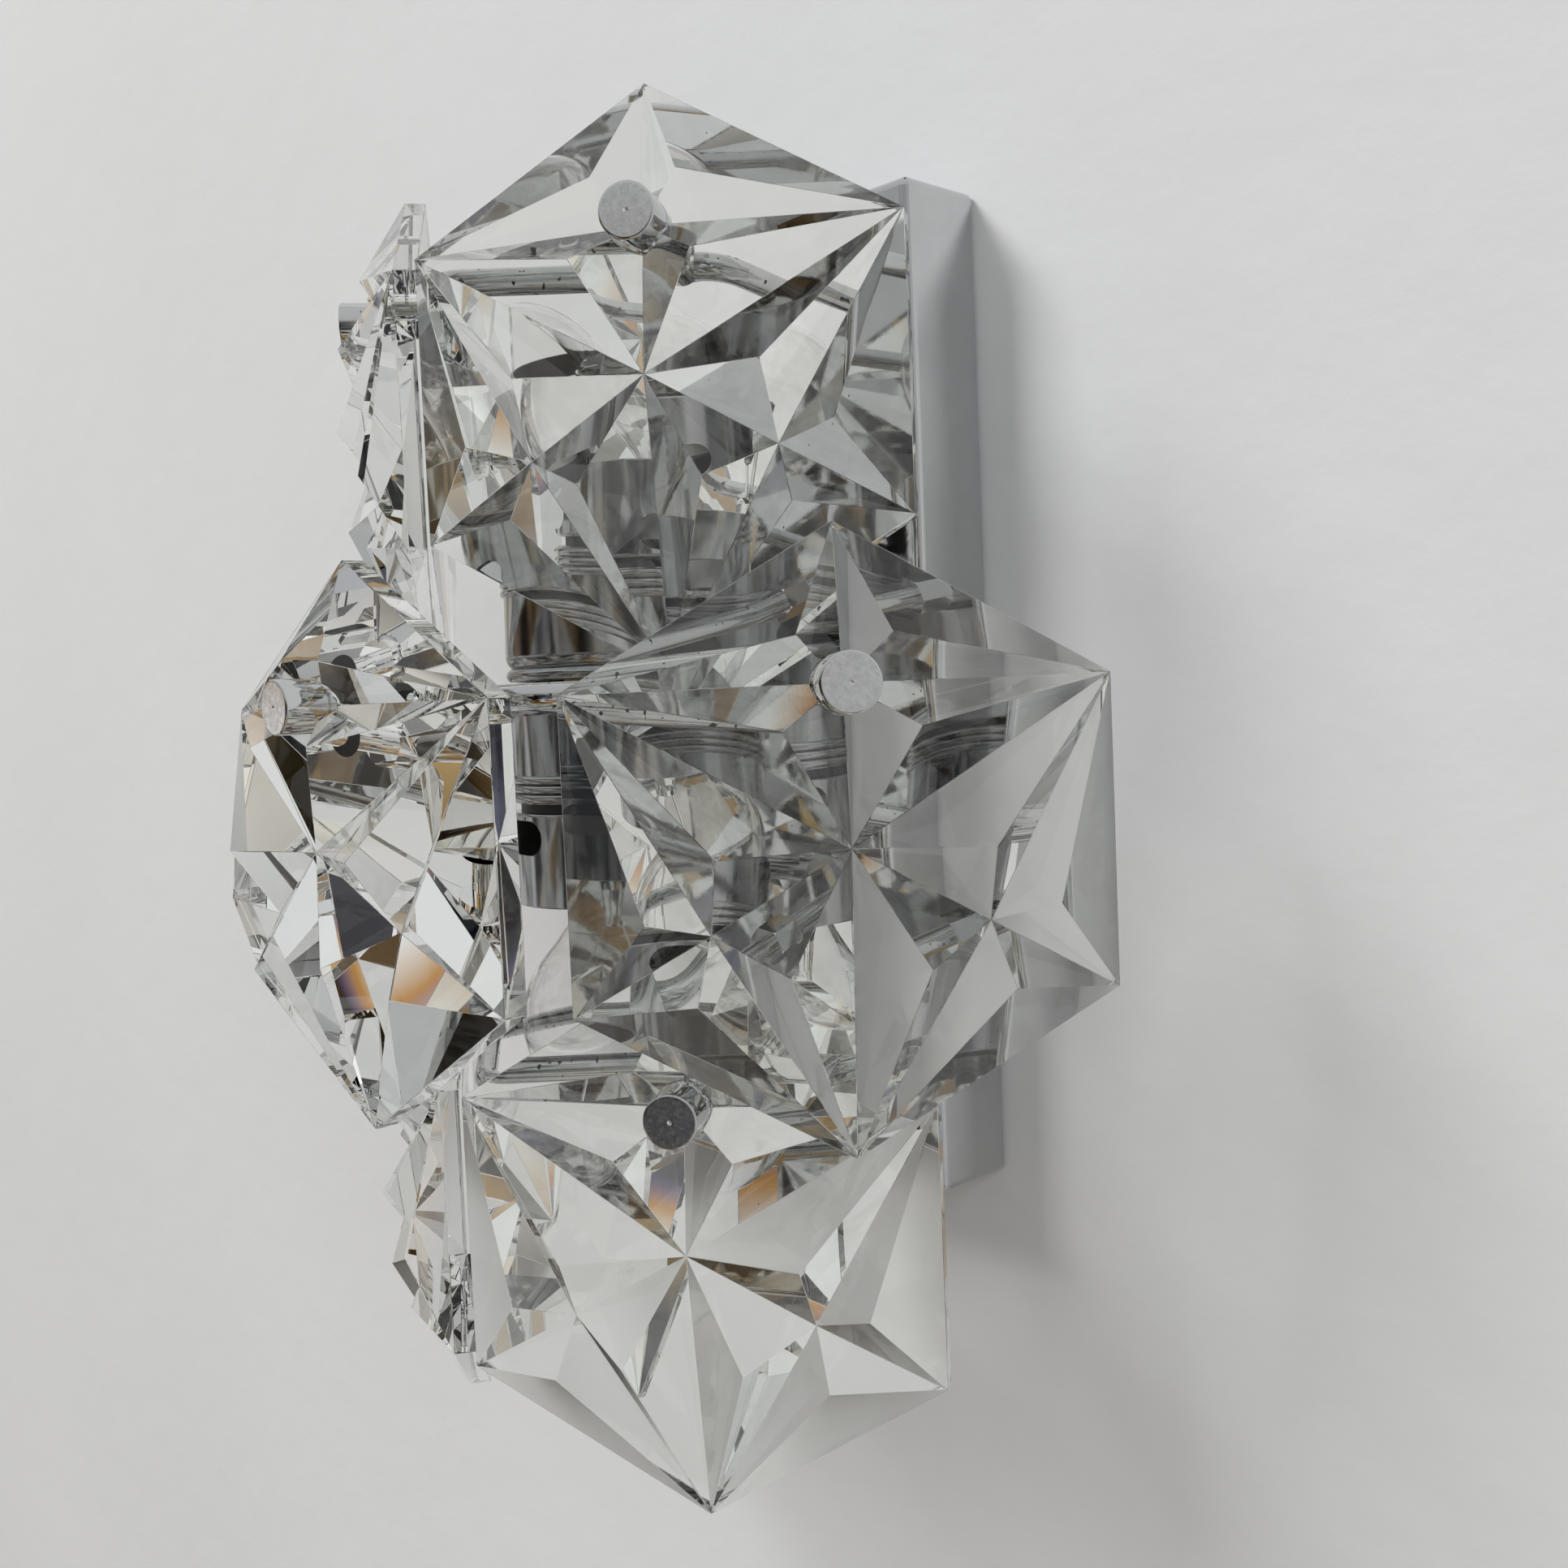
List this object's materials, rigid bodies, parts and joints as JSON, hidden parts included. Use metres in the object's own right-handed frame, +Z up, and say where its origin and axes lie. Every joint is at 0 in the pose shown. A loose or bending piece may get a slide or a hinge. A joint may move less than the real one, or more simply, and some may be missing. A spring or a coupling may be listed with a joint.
{
  "type": "wall sconce",
  "caption": "Wall light with pressed hexagon crystals that hang from chromed rods in front of a double lamp holder on a flat chromed box.",
  "frame": {"origin": "middle of the back box, on the wall", "axes": "+Z up, +Y into the wall, +X to the right seen from the room"},
  "size_m": [0.244, 0.1382, 0.288],
  "materials": {
    "crystal_glass": "clear pressed crystal, polished",
    "clear_plastic": "clear moulded plastic",
    "chrome": "polished chrome plate",
    "zinc_steel": "zinc plated steel",
    "brass": "plain turned brass",
    "black_plastic": "black insulating plastic",
    "white_ceramic": "glazed ceramic",
    "nickel": "nickel plated sheet",
    "bulb_glass": "clear blown glass",
    "stem_glass": "clear glass stem with wires",
    "tungsten": "coiled tungsten wire",
    "white_plastic": "moulded plastic",
    "brown_wire": "insulated wire",
    "blue_wire": "insulated wire"
  },
  "bodies": {
    "base": {"back_box": "chrome", "box_screws": "chrome", "cap_nuts": "chrome", "crystal_studs": "chrome", "earth_tag": "brass", "front_bar": "chrome", "hoop_bottom": "chrome", "hoop_top": "chrome", "lamp_tube": "chrome", "live_leads": "brown_wire", "lock_nuts": "zinc_steel", "lock_washers": "zinc_steel", "lower_contact": "brass", "lower_cup": "chrome", "lower_nipple": "zinc_steel", "lower_screw_shell": "nickel", "lower_shade_ring": "black_plastic", "lower_sleeve": "chrome", "lower_socket": "white_ceramic", "lower_spacer": "black_plastic", "middle_legs": "chrome", "neutral_leads": "blue_wire", "rod_nuts": "chrome", "tee_piece": "brass", "terminal_block": "white_plastic", "terminal_screws": "brass", "tube_nuts": "chrome", "upper_contact": "brass", "upper_cup": "chrome", "upper_nipple": "zinc_steel", "upper_screw_shell": "nickel", "upper_shade_ring": "black_plastic", "upper_sleeve": "chrome", "upper_socket": "white_ceramic", "upper_spacer": "black_plastic", "wall_plate": "zinc_steel"},
    "hanging_top_left": {"crystal_top_left": "crystal_glass", "bush_top_left": "clear_plastic"},
    "hanging_top_right": {"crystal_top_right": "crystal_glass", "bush_top_right": "clear_plastic"},
    "hanging_middle_left": {"crystal_middle_left": "crystal_glass", "bush_middle_left": "clear_plastic"},
    "hanging_middle_front": {"crystal_middle_front": "crystal_glass", "bush_middle_front": "clear_plastic"},
    "hanging_middle_right": {"crystal_middle_right": "crystal_glass", "bush_middle_right": "clear_plastic"},
    "hanging_bottom_left": {"crystal_bottom_left": "crystal_glass", "bush_bottom_left": "clear_plastic"},
    "hanging_bottom_right": {"crystal_bottom_right": "crystal_glass", "bush_bottom_right": "clear_plastic"},
    "upper_bulb": {"upper_bulb_glass": "bulb_glass", "upper_bulb_cap": "nickel", "upper_bulb_mount": "stem_glass", "upper_filament": "tungsten"},
    "lower_bulb": {"lower_bulb_glass": "bulb_glass", "lower_bulb_cap": "nickel", "lower_bulb_mount": "stem_glass", "lower_filament": "tungsten"}
  },
  "joints": [
    {"name": "top_left_swing", "type": "hinge", "parent": "base", "child": "hanging_top_left", "pos_m": [-0.0456, -0.076, 0.0925], "axis": [-0.5664, -0.8241, 0], "range_deg": [-8, 1.5]},
    {"name": "top_right_swing", "type": "hinge", "parent": "base", "child": "hanging_top_right", "pos_m": [0.0456, -0.076, 0.0925], "axis": [0.5664, -0.8241, 0], "range_deg": [-1.5, 8]},
    {"name": "middle_left_swing", "type": "hinge", "parent": "base", "child": "hanging_middle_left", "pos_m": [-0.091, -0.075, 0.003], "axis": [-0.788, -0.6157, 0], "range_deg": [-8, 3]},
    {"name": "middle_front_swing", "type": "hinge", "parent": "base", "child": "hanging_middle_front", "pos_m": [0, -0.122, 0.003], "axis": [0, -1, 0], "range_deg": [-3, 3]},
    {"name": "middle_right_swing", "type": "hinge", "parent": "base", "child": "hanging_middle_right", "pos_m": [0.091, -0.075, 0.003], "axis": [0.788, -0.6157, 0], "range_deg": [-3, 8]},
    {"name": "bottom_left_swing", "type": "hinge", "parent": "base", "child": "hanging_bottom_left", "pos_m": [-0.0456, -0.076, -0.08], "axis": [-0.5664, -0.8241, 0], "range_deg": [-8, 1.5]},
    {"name": "bottom_right_swing", "type": "hinge", "parent": "base", "child": "hanging_bottom_right", "pos_m": [0.0456, -0.076, -0.08], "axis": [0.5664, -0.8241, 0], "range_deg": [-1.5, 8]},
    {"name": "upper_bulb_out", "type": "slide", "parent": "base", "child": "upper_bulb", "axis": [0, 0, 1], "range_m": [0, 0.06]},
    {"name": "lower_bulb_out", "type": "slide", "parent": "base", "child": "lower_bulb", "axis": [0, 0, -1], "range_m": [0, 0.06]}
  ]
}
